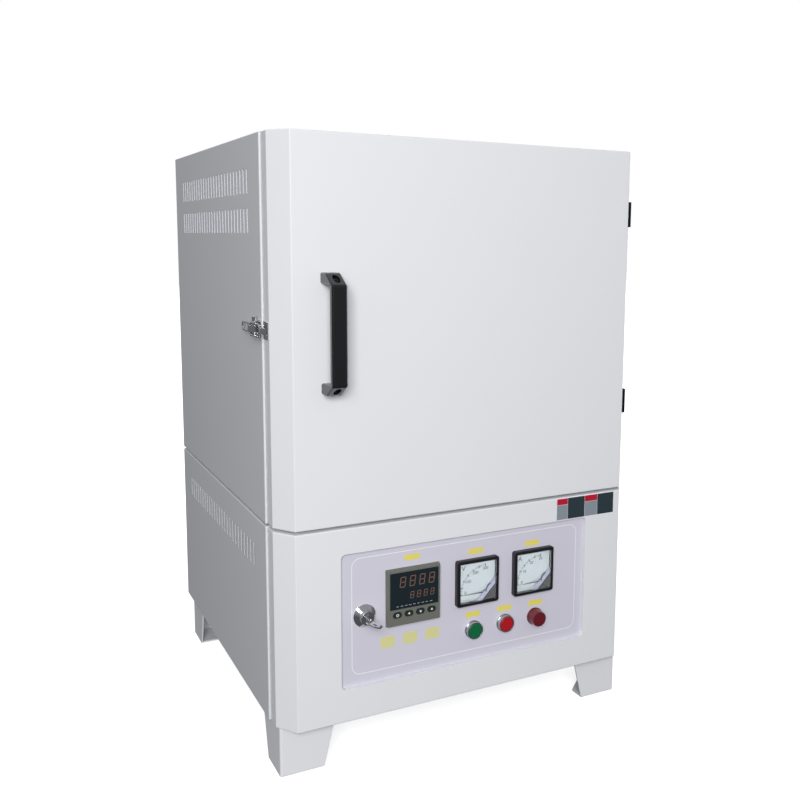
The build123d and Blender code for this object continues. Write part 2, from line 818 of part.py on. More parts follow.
controller_front = panel_face - controller_proud
key_places = [controller_x + (place - (key_count - 1) / 2) * key_pitch for place in range(key_count)]
with BuildPart() as controller_housing:
    with BuildSketch(facing(panel_face)):
        with Locations((controller_x, controller_z)):
            Rectangle(controller_size, controller_size)
    extrude(amount=controller_proud, taper=controller_taper)
    with BuildSketch(facing(panel_face)):
        with Locations((controller_x, controller_z)):
            Rectangle(controller_body, controller_body)
    extrude(amount=-controller_length)
    with BuildSketch(facing(controller_front)):
        with Locations((controller_x, controller_z + window_rise)):
            Rectangle(window_width, window_height)
    extrude(amount=-window_depth, mode=Mode.SUBTRACT)
    with BuildSketch(facing(controller_front)):
        with Locations([(x, controller_z - key_drop) for x in key_places]):
            SlotOverall(key_width + 2 * seat, key_height + 2 * seat)
    extrude(amount=-key_well, mode=Mode.SUBTRACT)
save(controller_housing, "controller_housing")

with BuildPart() as controller_window:
    with BuildSketch(facing(controller_front + window_depth - window_sheet)):
        with Locations((controller_x, controller_z + window_rise)):
            Rectangle(window_width - 2 * seat, window_height - 2 * seat)
    extrude(amount=-window_sheet)
save(controller_window, "controller_window")

for x, name in zip(key_places, ("key_set", "key_left", "key_down", "key_up")):
    with BuildPart() as controller_key:
        with BuildSketch(facing(controller_front - key_proud)):
            with Locations((x, controller_z - key_drop)):
                SlotOverall(key_width, key_height)
        extrude(amount=-key_proud - key_length)
    save(controller_key, name)

meter_front = panel_face - meter_proud
meter_inner = meter_size - 2 * meter_rim
for x, name in ((voltmeter_x, "voltmeter"), (ammeter_x, "ammeter")):
    pivot_at_x, pivot_at_z = x + meter_size / 2 - pivot_side, meter_z - meter_size / 2 + pivot_rise
    with BuildPart() as meter_case:
        with BuildSketch(facing(panel_face)):
            with Locations((x, meter_z)):
                RectangleRounded(meter_size, meter_size, meter_corner)
        extrude(amount=meter_proud)
        chamfer(faces().sort_by(Axis.Y)[0].edges(), edge_round)
        disc(facing(panel_face), x, meter_z, meter_barrel, -meter_length)
        with BuildSketch(facing(meter_front)):
            with Locations((x, meter_z)):
                Rectangle(meter_inner, meter_inner)
        extrude(amount=-meter_well, mode=Mode.SUBTRACT)
        corner_x, corner_z = x + meter_inner / 2, meter_z - meter_inner / 2
        mask = [(corner_x, corner_z), (corner_x - mask_leg, corner_z), (corner_x, corner_z + mask_leg)]
        prism(facing(meter_front + mask_depth), mask, -mask_sheet)
        pin_length = meter_well - needle_depth
        disc(facing(meter_front + meter_well), pivot_at_x, pivot_at_z, pivot_radius, pin_length)
    save(meter_case, f"{name}_case")

    with BuildPart() as meter_cover:
        with BuildSketch(facing(meter_front + cover_depth)):
            with Locations((x, meter_z)):
                Rectangle(meter_inner - 2 * seat, meter_inner - 2 * seat)
        extrude(amount=-cover_sheet)
    save(meter_cover, f"{name}_cover")

    with BuildPart() as meter_needle:
        plane = facing(meter_front + needle_depth)
        disc(plane, pivot_at_x, pivot_at_z, hub_radius, -hub_length)
        tip = (pivot_at_x - needle_length, pivot_at_z)
        half = needle_width / 2
        prism(plane, [tip, (pivot_at_x, pivot_at_z - half), (pivot_at_x, pivot_at_z + half)], -needle_sheet)
        disc(plane, pivot_at_x, pivot_at_z, pivot_radius + pivot_fit, -hub_length, Mode.SUBTRACT)
    save(meter_needle, f"{name}_needle")

for x, name in ((green_x, "green"), (red_x, "red")):
    with BuildPart() as button_body:
        profile = [
            (well_radius, panel_face - bezel_proud),
            (bezel_radius, panel_face - bezel_proud),
            (bezel_radius, panel_face - flange_proud),
            (flange_radius, panel_face - flange_proud),
            (flange_radius, panel_face),
            (barrel_radius, panel_face),
            (barrel_radius, panel_face + barrel_length),
            (0, panel_face + barrel_length),
            (0, panel_face + well_bore),
            (stem_radius + stem_fit, panel_face + well_bore),
            (stem_radius + stem_fit, panel_face - well_floor),
            (well_radius, panel_face - well_floor),
        ]
        turned(profile, x, button_z)
    save(button_body, f"{name}_button_body")

    with BuildPart() as button_cap:
        profile = [
            (0, panel_face - cap_proud),
            (well_radius - cap_gap - edge_round, panel_face - cap_proud),
            (well_radius - cap_gap, panel_face - cap_proud + edge_round),
            (well_radius - cap_gap, panel_face - cap_back),
            (stem_radius, panel_face - cap_back),
            (stem_radius, panel_face + stem_end),
            (0, panel_face + stem_end),
        ]
        turned(profile, x, button_z)
    save(button_cap, f"{name}_button_cap")

with BuildPart() as buzzer:
    profile = [
        (0, panel_face - buzzer_proud),
        (buzzer_radius, panel_face - buzzer_proud),
        (bezel_radius, panel_face - flange_proud),
        (flange_radius, panel_face - flange_proud),
        (flange_radius, panel_face),
        (barrel_radius, panel_face),
        (barrel_radius, panel_face + barrel_length),
        (0, panel_face + barrel_length),
    ]
    turned(profile, buzzer_x, button_z)
save(buzzer, "buzzer")

with BuildPart() as lock_barrel:
    profile = [
        (plug_radius + plug_fit, panel_face - switch_proud),
        (switch_nose, panel_face - switch_proud),
        (switch_nose, panel_face - switch_cone),
        (switch_radius, panel_face - edge_round),
        (switch_radius, panel_face),
        (switch_barrel, panel_face),
        (switch_barrel, panel_face + switch_length),
        (0, panel_face + switch_length),
        (0, panel_face + plug_length_in + seat),
        (plug_radius + plug_fit, panel_face + plug_length_in + seat),
    ]
    turned(profile, switch_x, switch_z)
save(lock_barrel, "lock_barrel")

with BuildPart() as lock_key:
    plug = [(0, panel_face - plug_proud), (plug_radius, panel_face - plug_proud)]
    plug += [(plug_radius, panel_face + plug_length_in), (0, panel_face + plug_length_in)]
    turned(plug, switch_x, switch_z)
    middle = panel_face - bow_middle
    flat = Plane((switch_x, 0, switch_z), x_dir=(1, 0, 0), z_dir=(0, 0, 1)).rotated((0, -key_angle, 0))
    with BuildSketch(flat.offset(-blade_sheet / 2)):
        with Locations((0, (middle + panel_face - plug_proud) / 2)):
            Rectangle(blade_width, panel_face - plug_proud - middle + 2 * through)
        with Locations((0, middle)):
            Circle(bow_radius)
        with Locations((0, middle - bow_radius / 3)):
            Circle(bow_hole, mode=Mode.SUBTRACT)
    extrude(amount=blade_sheet)
save(lock_key, "lock_key")

# Switchgear in the lower cabinet
with BuildPart() as power_regulator:
    sink_x, sink_y = regulator_x - sink_width / 2, regulator_y - sink_length / 2
    base_low = base_top + sink_height - sink_base
    block((sink_x, sink_y, base_low), (sink_x + sink_width, sink_y + sink_length, base_low + sink_base))
    for fin in range(sink_fins):
        fin_x = sink_x + fin * (sink_width - fin_sheet) / (sink_fins - 1)
        block((fin_x, sink_y, base_top), (fin_x + fin_sheet, sink_y + sink_length, base_low))
    low = base_low + sink_base
    half_x, half_y = module_width / 2, module_length / 2
    block(
        (regulator_x - half_x, regulator_y - half_y, low),
        (regulator_x + half_x, regulator_y + half_y, low + module_height),
    )
save(power_regulator, "power_regulator")

with BuildPart() as contactor:
    low = base_top
    for wide, deep, height in contactor_steps:
        block(
            (contactor_x - wide / 2, regulator_y - deep / 2, low),
            (contactor_x + wide / 2, regulator_y + deep / 2, low + height),
        )
        low += height
save(contactor, "contactor")

with BuildPart() as terminal_block:
    start = terminal_x - block_ways * block_pitch / 2
    block(
        (start, terminal_y - block_depth / 2, base_top),
        (start + block_ways * block_pitch, terminal_y + block_depth / 2, base_top + block_height),
    )
    for way in range(1, block_ways):
        line = start + way * block_pitch
        block(
            (line - groove / 2, terminal_y - block_depth / 2, base_top + block_height / 2),
            (line + groove / 2, terminal_y + block_depth / 2, base_top + block_height),
            Mode.SUBTRACT,
        )
save(terminal_block, "terminal_block")

with BuildPart() as cable_gland:
    profile = [
        (gland_bore, back_y - gland_inside),
        (gland_thread, back_y - gland_inside),
        (gland_thread, back_y),
        (gland_hex / 2, back_y),
        (gland_hex / 2, back_y + gland_nut),
        (gland_thread + edge_round, back_y + gland_nut),
        (gland_bore + edge_round, back_y + gland_reach),
        (gland_bore, back_y + gland_reach),
    ]
    turned(profile, gland_x, gland_z)
    with BuildSketch(facing(back_y + gland_nut)):
        with Locations((gland_x, gland_z)):
            RegularPolygon(gland_hex / 2, 6, major_radius=False)
            Circle(gland_thread, mode=Mode.SUBTRACT)
    extrude(amount=gland_nut)
save(cable_gland, "cable_gland")
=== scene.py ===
"""Looks of the laboratory box furnace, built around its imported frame."""

import json
import logging
import math
from dataclasses import dataclass
from enum import Enum

import bmesh
import bpy
from mathutils import Matrix, Vector


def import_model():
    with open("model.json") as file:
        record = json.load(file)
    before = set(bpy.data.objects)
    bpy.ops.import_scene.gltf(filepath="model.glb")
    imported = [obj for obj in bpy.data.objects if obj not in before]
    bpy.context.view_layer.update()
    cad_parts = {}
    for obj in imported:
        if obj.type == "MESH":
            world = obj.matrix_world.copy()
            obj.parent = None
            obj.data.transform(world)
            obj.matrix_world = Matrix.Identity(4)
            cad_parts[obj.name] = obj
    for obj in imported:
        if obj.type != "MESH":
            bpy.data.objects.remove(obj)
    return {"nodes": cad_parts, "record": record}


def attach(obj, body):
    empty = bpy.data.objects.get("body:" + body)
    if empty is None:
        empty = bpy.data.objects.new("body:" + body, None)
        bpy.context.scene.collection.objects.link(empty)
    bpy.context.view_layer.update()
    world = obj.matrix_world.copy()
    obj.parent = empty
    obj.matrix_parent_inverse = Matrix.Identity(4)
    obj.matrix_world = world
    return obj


LOG = logging.getLogger("furnace")
MM = 0.001
Point = tuple[float, float]

# Faces shared with the frame, in millimetres of its own axes
FRONT_Y = -326.0
PANEL_Y = FRONT_Y + 6.3
METER_FRONT = PANEL_Y - 10.0

# Shader settings that every finish shares
COAT_ROUGHNESS = 0.08
EDGE_SAMPLES = 4
WANDER_PER_METRE = 9.0
WANDER_DETAIL = 3.0
FIBRE_DETAIL = 6.0
PLAIN_DETAIL = 2.0
BRUSH_STRETCH = (0.02, 1.0, 1.0)

# Chords in a round corner of a printed shape
CORNER_STEPS = 6


def linear(code: str) -> tuple[float, float, float, float]:
    """Turns an sRGB hex code into linear light.

    Args:
        code: Six hex digits.

    Returns:
        Red, green, blue and a full alpha.
    """
    values = [int(code[i : i + 2], 16) / 255 for i in (0, 2, 4)]
    light = [v / 12.92 if v <= 0.04045 else ((v + 0.055) / 1.055) ** 2.4 for v in values]
    return (light[0], light[1], light[2], 1.0)


class Grain(Enum):
    """How a surface's fine relief is made."""

    NONE = "none"
    POWDER = "powder"
    MOULDED = "moulded"
    FIBRE = "fibre"
    BRUSHED = "brushed"


@dataclass(frozen=True)
class Finish:
    """One surface finish.

    Attributes:
        name: Material name.
        colour: sRGB hex code.
        roughness: Microfacet roughness.
        metallic: 1 for bare metal.
        coat: Weight of a clear coat.
        transmission: Weight of see-through.
        emission: Strength of its own light.
        grain: Kind of fine relief.
        relief: Height of that relief in millimetres.
        size: Size of one grain in millimetres.
        edge: Radius of softened edges in millimetres.
        vary: How much the colour wanders.
    """

    name: str
    colour: str
    roughness: float = 0.5
    metallic: float = 0.0
    coat: float = 0.0
    transmission: float = 0.0
    emission: float = 0.0
    grain: Grain = Grain.NONE
    relief: float = 0.02
    size: float = 1.0
    edge: float = 0.0
    vary: float = 0.0


# Powder coat on folded steel: satin white with a faint orange peel of about its real size
FRONT_PAINT = Finish(
    "front_paint", "ECEDF0", 0.42,
    grain=Grain.POWDER, relief=0.010, size=1.4, edge=1.0, vary=0.010,
)
# The casing's copy of the same white coat is a little greyer: painted shade that stands in for the
# shade on the casing's sides
SHADED_CASING_PAINT = Finish(
    "casing_paint", "DCDDE0", 0.46,
    grain=Grain.POWDER, relief=0.012, size=1.4, edge=1.0, vary=0.012,
)
# The same coat in pale lilac, finer and a little smoother, on the flat panel
PANEL_PAINT = Finish(
    "panel_paint", "D8D6E2", 0.40, grain=Grain.POWDER, relief=0.006, size=1.0, vary=0.012
)
# Hot-dip galvanised sheet: grey and clouded, in patches of about a centimetre
ZINC = Finish(
    "zinc_sheet", "A9ADB0", 0.38,
    metallic=1.0, grain=Grain.MOULDED, relief=0.01, size=12.0, vary=0.06,
)
# Brushed stainless sheet: soft streaks, drawn coarser than the grit so that they show
STAINLESS = Finish(
    "stainless", "B4B2AE", 0.30, metallic=1.0, grain=Grain.BRUSHED, relief=0.006, size=0.6
)
# Nickel-chrome plate: a nearly clean mirror
CHROME = Finish("chrome", "D8D8DA", 0.07, metallic=1.0, edge=0.4)
# Blackened steel: dark, with a dull shine
DARK_STEEL = Finish("dark_steel", "26262A", 0.35, metallic=0.8, edge=0.3)
# Painted die casting: deep black under a thin gloss, faintly uneven
BLACK_CAST = Finish(
    "black_casting", "121315", 0.30,
    coat=0.25, grain=Grain.MOULDED, relief=0.01, size=1.2, edge=0.8,
)
# Vacuum-formed ceramic fibre: chalky off-white, matt and lumpy
FIBRE = Finish(
    "fibre", "EDEAE0", 0.95, grain=Grain.FIBRE, relief=0.35, size=5.0, edge=0.6, vary=0.04
)
# Pressed and fired ceramic: sandy buff with open grains
HEARTH = Finish(
    "hearth", "C7B798", 0.85, grain=Grain.MOULDED, relief=0.08, size=2.0, edge=0.8, vary=0.06
)
# Braided ceramic rope: cream and fuzzy
ROPE = Finish("rope", "DAD4C4", 0.9, grain=Grain.FIBRE, relief=0.3, size=2.0, vary=0.05)
# Oxidised resistance wire: brown-grey, only half metallic
WIRE = Finish("wire", "57514C", 0.55, metallic=0.7)
# Moulded ABS, with a texture drawn coarser than it is so that it shows
BLACK_PLASTIC = Finish(
    "black_plastic", "15161A", 0.42, grain=Grain.MOULDED, relief=0.008, size=0.8, edge=0.3
)
CONTROLLER_PLASTIC = Finish(
    "controller_plastic", "6F7168", 0.48,
    grain=Grain.MOULDED, relief=0.008, size=0.8, edge=0.5,
)
# Tinted acrylic: glossy and almost black
WINDOW = Finish("window_tint", "16242A", 0.12, coat=0.5)
# Silicone rubber keys: dark and soft-edged
KEY_RUBBER = Finish("key_rubber", "1B2A28", 0.5, edge=0.5)
# Clear polystyrene: plain see-through
CLEAR_COVER = Finish("clear_cover", "FFFFFF", 0.03, transmission=1.0)
# Aluminium pointer under matt black lacquer
NEEDLE = Finish("needle", "16161A", 0.5)
# Polished polycarbonate caps: full colour and a wet shine
GREEN_CAP = Finish("green", "04693C", 0.25, coat=0.4, edge=0.4)
RED_CAP = Finish("red", "B3141F", 0.25, coat=0.4, edge=0.4)
BUZZER_SHELL = Finish("buzzer_red", "6A1220", 0.30, coat=0.4, edge=0.4)
# Turned and nickel-plated brass ring: bright, with a blurred mirror
BEZEL = Finish("bezel", "B9BABD", 0.28, metallic=1.0, edge=0.3)
# Extruded aluminium: pale streaks, drawn coarser than the die lines so that they show
SINK = Finish(
    "sink", "A5A8AB", 0.40, metallic=1.0, grain=Grain.BRUSHED, relief=0.01, size=0.8
)
# Moulded phenolic of the switchgear: warm grey and matt
SWITCHGEAR = Finish(
    "switchgear", "C9C8C0", 0.5, grain=Grain.MOULDED, relief=0.01, size=1.0, edge=0.6
)
# Powder-coated inner sheet, a little self-lit: painted light that stands in for the light the
# sheet and the slots' cut edges catch, so that the vent slots look pale
GLOWING_INNER_SHEET = Finish("inner_sheet", "D5DDE8", 0.5, emission=0.30)

# Screen-printed inks and vinyl labels: flat colours, a little smoother than paper
WHITE_PRINT = Finish("white_print", "F4F4F8", 0.5)
YELLOW_TAG = Finish("yellow_tag", "EEDF6E", 0.5)
PALE_TAG = Finish("pale_tag", "DFDC9C", 0.5)
SLATE_PRINT = Finish("slate_print", "28373F", 0.45)
STRIP_RED = Finish("strip_red", "BE1430", 0.4)
STRIP_GREY = Finish("strip_grey", "8C969E", 0.45)
INK = Finish("ink", "15181C", 0.6)
# Painted aluminium dial: pale blue-white and matt
DIAL = Finish("dial", "D3DFE4", 0.5)
# Polystyrene trim along the dial's corner: pale lilac with a soft shine
BAND = Finish("band", "B9BEDC", 0.35)
# Unlit segments behind the window: dull red-brown, and pale marks under them
SEGMENT = Finish("segment", "7E5C50", 0.5)
DASH = Finish("dash", "AEB8BA", 0.5)

# A slot of the frame has its finish's name
BY_SLOT = {
    finish.name: finish
    for finish in (
        FRONT_PAINT,
        SHADED_CASING_PAINT,
        PANEL_PAINT,
        ZINC,
        STAINLESS,
        CHROME,
        DARK_STEEL,
        BLACK_CAST,
        FIBRE,
        HEARTH,
        ROPE,
        WIRE,
        BLACK_PLASTIC,
        CONTROLLER_PLASTIC,
        WINDOW,
        KEY_RUBBER,
        CLEAR_COVER,
        NEEDLE,
        GREEN_CAP,
        RED_CAP,
        BUZZER_SHELL,
        BEZEL,
        SINK,
        SWITCHGEAR,
    )
}
# Nodes whose finish is not their slot's
BY_NODE = {"inner_shell": GLOWING_INNER_SHEET}


def add_node(
    tree: bpy.types.NodeTree, kind: str, *given: object, **values: object
) -> bpy.types.Node:
    """Adds a node and sets it up.

    Args:
        tree: The node tree.
        kind: Node type.
        *given: Values or sockets for its first inputs, in their order.
        **values: Input names with underscores for blanks, or properties of the node.

    Returns:
        The new node.
    """
    node = tree.nodes.new(kind)
    pairs = list(zip(node.inputs, given))
    for key, value in values.items():
        socket = node.inputs.get(key.replace("_", " "))
        if socket is None:
            setattr(node, key, value)
        else:
            pairs.append((socket, value))
    for socket, value in pairs:
        if isinstance(value, bpy.types.NodeSocket):
            tree.links.new(value, socket)
        else:
            socket.default_value = value
    return node


class Materials:
    """Makes each finish's material once."""

    def __init__(self) -> None:
        """Starts with none made."""
        self.made: dict[str, bpy.types.Material] = {}

    def get(self, finish: Finish) -> bpy.types.Material:
        """Gives a finish's material.

        Args:
            finish: The finish.

        Returns:
            Its material.
        """
        if finish.name not in self.made:
            self.made[finish.name] = self._build(finish)
        return self.made[finish.name]

    def _build(self, finish: Finish) -> bpy.types.Material:
        """Builds one material.

        Args:
            finish: The finish.

        Returns:
            The new material.
        """
        material = bpy.data.materials.new(finish.name)
        material.use_nodes = True
        tree = material.node_tree
        shader = tree.nodes["Principled BSDF"]
        shader.inputs["Base Color"].default_value = linear(finish.colour)
        shader.inputs["Roughness"].default_value = finish.roughness
        shader.inputs["Metallic"].default_value = finish.metallic
        shader.inputs["Coat Weight"].default_value = finish.coat
        shader.inputs["Coat Roughness"].default_value = COAT_ROUGHNESS
        shader.inputs["Transmission Weight"].default_value = finish.transmission
        if finish.emission:
            shader.inputs["Emission Color"].default_value = linear(finish.colour)
            shader.inputs["Emission Strength"].default_value = finish.emission
        where = add_node(tree, "ShaderNodeTexCoord").outputs["Object"]
        if finish.vary:
            self._wander(tree, shader, finish, where)
        if finish.grain is not Grain.NONE or finish.edge:
            self._relief(tree, shader, finish, where)
        return material

    def _wander(
        self,
        tree: bpy.types.NodeTree,
        shader: bpy.types.Node,
        finish: Finish,
        where: bpy.types.NodeSocket,
    ) -> None:
        """Lets the colour wander over the surface, in patches of about 110 mm.

        Args:
            tree: The material's node tree.
            shader: Its shader.
            finish: The finish.
            where: Object coordinates.
        """
        noise = add_node(
            tree, "ShaderNodeTexNoise", Vector=where, Scale=WANDER_PER_METRE, Detail=WANDER_DETAIL
        )
        bright = add_node(
            tree,
            "ShaderNodeMapRange",
            Value=noise.outputs["Fac"],
            To_Min=1 - finish.vary,
            To_Max=1 + finish.vary,
        )
        colour = linear(finish.colour)[:3]
        tint = add_node(
            tree, "ShaderNodeVectorMath", colour, operation="SCALE", Scale=bright.outputs["Result"]
        )
        tree.links.new(tint.outputs["Vector"], shader.inputs["Base Color"])

    def _relief(
        self,
        tree: bpy.types.NodeTree,
        shader: bpy.types.Node,
        finish: Finish,
        where: bpy.types.NodeSocket,
    ) -> None:
        """Adds fine relief and softened edges.

        Args:
            tree: The material's node tree.
            shader: Its shader.
            finish: The finish.
            where: Object coordinates.
        """
        normal = None
        if finish.edge:
            edge = add_node(
                tree, "ShaderNodeBevel", samples=EDGE_SAMPLES, Radius=finish.edge * MM
            )
            normal = edge.outputs["Normal"]
        if finish.grain is not Grain.NONE:
            if finish.grain is Grain.BRUSHED:
                stretch = add_node(tree, "ShaderNodeMapping", Vector=where, Scale=BRUSH_STRETCH)
                where = stretch.outputs["Vector"]
            noise = add_node(
                tree,
                "ShaderNodeTexNoise",
                Vector=where,
                Scale=1 / (finish.size * MM),
                Detail=FIBRE_DETAIL if finish.grain is Grain.FIBRE else PLAIN_DETAIL,
            )
            bump = add_node(
                tree,
                "ShaderNodeBump",
                Height=noise.outputs["Fac"],
                Distance=finish.relief * MM,
                Strength=1.0,
            )
            if normal is not None:
                tree.links.new(normal, bump.inputs["Normal"])
            normal = bump.outputs["Normal"]
        tree.links.new(normal, shader.inputs["Normal"])


def paint_frame(frame: dict, materials: Materials) -> None:
    """Gives every node of the frame its finish.

    Args:
        materials: The materials.
    """
    slots = {part["node"]: part["material_slot"] for part in frame["record"]["subparts"]}
    for name, node in frame["nodes"].items():
        finish = BY_NODE.get(name, BY_SLOT[slots[name]])
        node.data.materials.clear()
        node.data.materials.append(materials.get(finish))
        LOG.info("%s: %s", name, finish.name)


@dataclass(frozen=True)
class CameraPlace:
    """The photo's camera.

    Attributes:
        x: Place to the right, in millimetres, as the next two.
        y: Place to the back.
        z: Height.
        yaw: Turn to the right, in degrees, as the next two.
        pitch: Tilt upwards.
        roll: Turn about the line of sight.
        lens: Focal length in millimetres.
        shift_x: Shift of the picture to the right.
        shift_y: Shift of the picture upwards.
        sensor: Width of the sensor in millimetres.
        near: Nearest point it sees, in metres.
        far: Farthest point it sees, in metres.
    """

    x: float = -726.02
    y: float = -1345.33 + FRONT_Y
    z: float = 853.54
    yaw: float = 28.73
    pitch: float = -7.68
    roll: float = 0.71
    lens: float = 42.336
    shift_x: float = -0.1
    shift_y: float = -0.0423
    sensor: float = 36.0
    near: float = 0.05
    far: float = 50.0

    def build(self) -> bpy.types.Object:
        """Makes the camera.

        Returns:
            The camera's object.
        """
        yaw, pitch, roll = (math.radians(v) for v in (self.yaw, self.pitch, self.roll))
        level = math.cos(pitch)
        ahead = Vector((math.sin(yaw) * level, math.cos(yaw) * level, math.sin(pitch)))
        right = Vector((math.cos(yaw), -math.sin(yaw), 0.0))
        up = right.cross(ahead)
        turned = math.cos(roll) * right + math.sin(roll) * up
        upright = -math.sin(roll) * right + math.cos(roll) * up
        data = bpy.data.cameras.new("photo_camera")
        data.lens = self.lens
        data.sensor_width = self.sensor
        data.shift_x = self.shift_x
        data.shift_y = self.shift_y
        data.clip_start = self.near
        data.clip_end = self.far
        camera = bpy.data.objects.new("photo_camera", data)
        bpy.context.collection.objects.link(camera)
        turn = Matrix((turned, upright, -ahead)).transposed().to_4x4()
        camera.matrix_world = Matrix.Translation(Vector((self.x, self.y, self.z)) * MM) @ turn
        bpy.context.scene.camera = camera
        return camera


@dataclass(frozen=True)
class Lamp:
    """One area lamp.

    Attributes:
        name: Object name.
        place: Position in metres.
        aim: Point it faces, in metres.
        width: Side of its square in metres.
        power: Watts.
        colour: sRGB hex code.
    """

    name: str
    place: tuple[float, float, float]
    aim: tuple[float, float, float]
    width: float
    power: float
    colour: str = "FFFFFF"

    def build(self) -> bpy.types.Object:
        """Makes the lamp.

        Returns:
            The lamp's object.
        """
        data = bpy.data.lights.new(self.name, "AREA")
        data.size = self.width
        data.energy = self.power
        data.color = linear(self.colour)[:3]
        lamp = bpy.data.objects.new(self.name, data)
        bpy.context.collection.objects.link(lamp)
        lamp.location = self.place
        ray = Vector(self.aim) - Vector(self.place)
        lamp.rotation_euler = ray.to_track_quat("-Z", "Y").to_euler()
        return lamp


KEY_LAMP = Lamp("key", (-1.6, -3.4, 1.7), (0.0, -0.3, 0.55), 1.6, 108.0)


@dataclass(frozen=True)
class Studio:
    """White surroundings, lamp, floor and camera.

    Attributes:
        sky: Strength of the surrounding light from above.
        ground: Strength of it from below.
        horizon: Heights of a ray's direction between which one turns into the other.
        tint: sRGB hex code of that light.
        floor_size: Side of the floor in metres.
        floor_drop: How far it lies under the feet, in metres, so that the two don't flicker.
        floor_grey: Its own brightness.
        floor_roughness: Its roughness.
        near_glow: Its own light under the furnace, which leaves the shadow.
        far_glow: Its own light far off, where it has to be white.
        near: Distance at which near_glow ends, in metres.
        far: Distance at which far_glow begins, in metres.
    """

    sky: float = 0.42
    ground: float = 0.12
    horizon: Point = (-0.25, 0.35)
    tint: str = "EEF0F6"
    floor_size: float = 30.0
    floor_drop: float = 0.0005
    floor_grey: float = 0.9
    floor_roughness: float = 0.9
    near_glow: float = 0.72
    far_glow: float = 1.2
    near: float = 0.6
    far: float = 1.3

    def build(self) -> None:
        """Makes the surroundings."""
        CameraPlace().build()
        KEY_LAMP.build()
        self._world()
        self._floor()
        scene = bpy.context.scene
        scene.view_settings.view_transform = "Standard"
        scene.view_settings.look = "None"

    def _world(self) -> None:
        """White for the camera, softer light for everything else."""
        world = bpy.data.worlds.new("studio")
        bpy.context.scene.world = world
        world.use_nodes = True
        tree = world.node_tree
        tree.nodes.clear()
        path = add_node(tree, "ShaderNodeLightPath")
        where = add_node(tree, "ShaderNodeTexCoord").outputs["Generated"]
        height = add_node(tree, "ShaderNodeSeparateXYZ", Vector=where).outputs["Z"]
        level = add_node(
            tree,
            "ShaderNodeMapRange",
            Value=height,
            From_Min=self.horizon[0],
            From_Max=self.horizon[1],
            To_Min=self.ground,
            To_Max=self.sky,
        )
        soft = add_node(
            tree,
            "ShaderNodeBackground",
            Color=linear(self.tint),
            Strength=level.outputs["Result"],
        )
        white = add_node(tree, "ShaderNodeBackground", Color=linear("FFFFFF"), Strength=1.0)
        mix = add_node(
            tree,
            "ShaderNodeMixShader",
            path.outputs["Is Camera Ray"],
            soft.outputs[0],
            white.outputs[0],
        )
        add_node(tree, "ShaderNodeOutputWorld", Surface=mix.outputs[0])

    def _floor(self) -> None:
        """Pale floor that keeps a soft shadow."""
        bpy.ops.mesh.primitive_plane_add(
            size=self.floor_size, location=(0.0, 0.0, -self.floor_drop)
        )
        floor = bpy.context.object
        floor.name = "floor"
        material = bpy.data.materials.new("floor")
        material.use_nodes = True
        tree = material.node_tree
        shader = tree.nodes["Principled BSDF"]
        grey = self.floor_grey
        shader.inputs["Base Color"].default_value = (grey, grey, grey, 1.0)
        shader.inputs["Roughness"].default_value = self.floor_roughness
        shader.inputs["Specular IOR Level"].default_value = 0.0
        shader.inputs["Emission Color"].default_value = linear("FFFFFF")
        where = add_node(tree, "ShaderNodeTexCoord").outputs["Object"]
        reach = add_node(tree, "ShaderNodeVectorMath", where, operation="LENGTH")
        glow = add_node(
            tree,
            "ShaderNodeMapRange",
            Value=reach.outputs["Value"],
            From_Min=self.near,
            From_Max=self.far,
            To_Min=self.near_glow,
            To_Max=self.far_glow,
        )
        tree.links.new(glow.outputs["Result"], shader.inputs["Emission Strength"])
        floor.visible_diffuse = False
        floor.visible_glossy = False
        floor.data.materials.append(material)


def add_piece(name: str, data: bpy.types.Mesh, body: str) -> bpy.types.Object:
    """Makes a mesh a piece of the furnace.

    Args:
        name: The piece's name.
        data: Its mesh, with its place and material in it.
        body: Body that it rides on.

    Returns:
        The piece's object, at the origin.
    """
    piece = bpy.data.objects.new(name, data)
    bpy.context.collection.objects.link(piece)
    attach(piece, body)
    LOG.info("%s rides on %s", name, body)
    return piece


def plain_mesh(maker: bpy.types.Object) -> bpy.types.Mesh:
    """Turns a curve or a carrier of a node tree into a plain mesh.

    Args:
        maker: The object as it stands in the scene. It is left there.

    Returns:
        What it evaluates to.
    """
    bpy.context.view_layer.update()
    graph = bpy.context.evaluated_depsgraph_get()
    return bpy.data.meshes.new_from_object(maker.evaluated_get(graph))


def corners(x: float, z: float, width: float, height: float, radius: float) -> list[Point]:
    """Gives a round-cornered rectangle's outline.

    Args:
        x: Its middle across.
        z: Its middle upwards.
        width: Size across.
        height: Size upwards.
        radius: Radius of its corners.

    Returns:
        X and Z of the outline's points.
    """
    points = []
    for quarter, (side, level) in enumerate(((1, -1), (1, 1), (-1, 1), (-1, -1))):
        mid_x, mid_z = x + side * (width / 2 - radius), z + level * (height / 2 - radius)
        for step in range(CORNER_STEPS + 1):
            turn = math.radians(90 * (quarter - 1 + step / CORNER_STEPS))
            points.append((mid_x + radius * math.cos(turn), mid_z + radius * math.sin(turn)))
    return points


